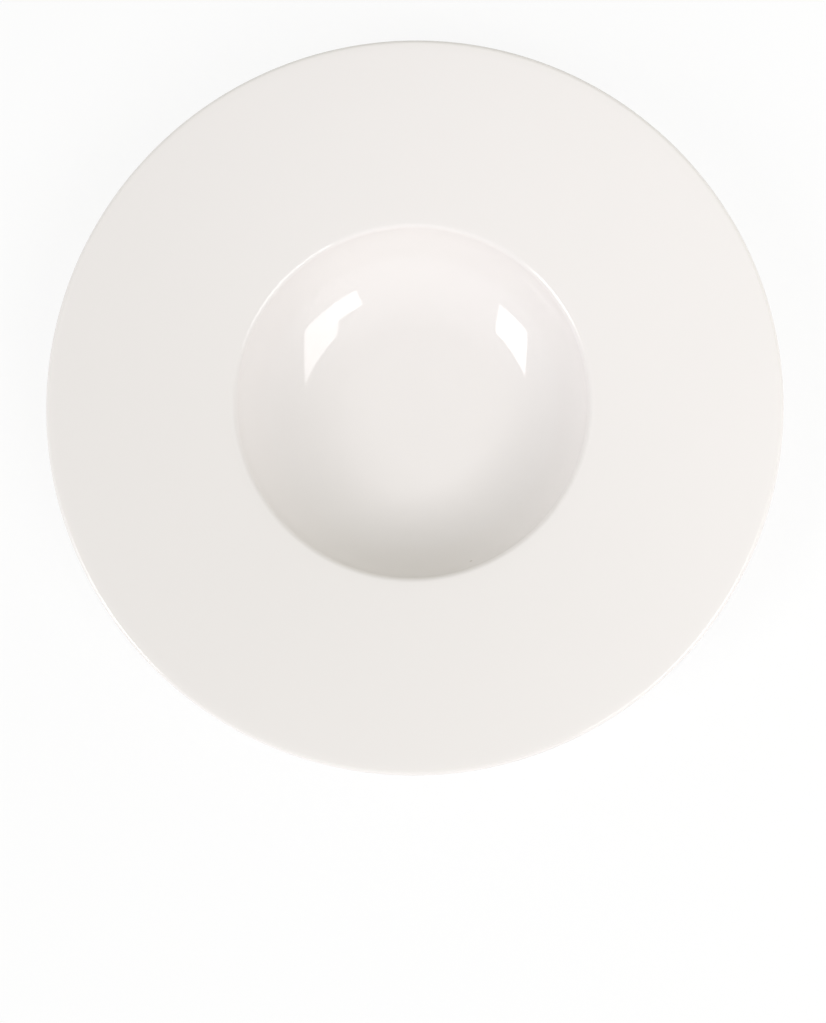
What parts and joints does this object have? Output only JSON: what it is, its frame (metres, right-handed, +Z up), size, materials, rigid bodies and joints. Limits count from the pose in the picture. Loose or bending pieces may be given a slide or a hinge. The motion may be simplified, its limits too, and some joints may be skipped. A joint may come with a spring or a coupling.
{
  "type": "deep plate",
  "caption": "Round wide-rimmed deep plate of glossy ivory-white glazed porcelain, with a bowl-shaped well for pasta or soup and a bare foot ring to stand on.",
  "frame": {"origin": "centre of the circle that the foot ring stands on, at table height", "axes": "+Z up along the plate's axis of turning; X and Y are any two level directions"},
  "size_m": [0.3, 0.3, 0.047],
  "materials": {
    "bare_porcelain": "matt fired clay, slightly warm",
    "ivory_glaze": "smooth glossy ivory-white glaze"
  },
  "bodies": {
    "root": {"porcelain_body": "bare_porcelain", "glaze_coat": "ivory_glaze", "foot_recess_glaze": "ivory_glaze"}
  },
  "joints": []
}
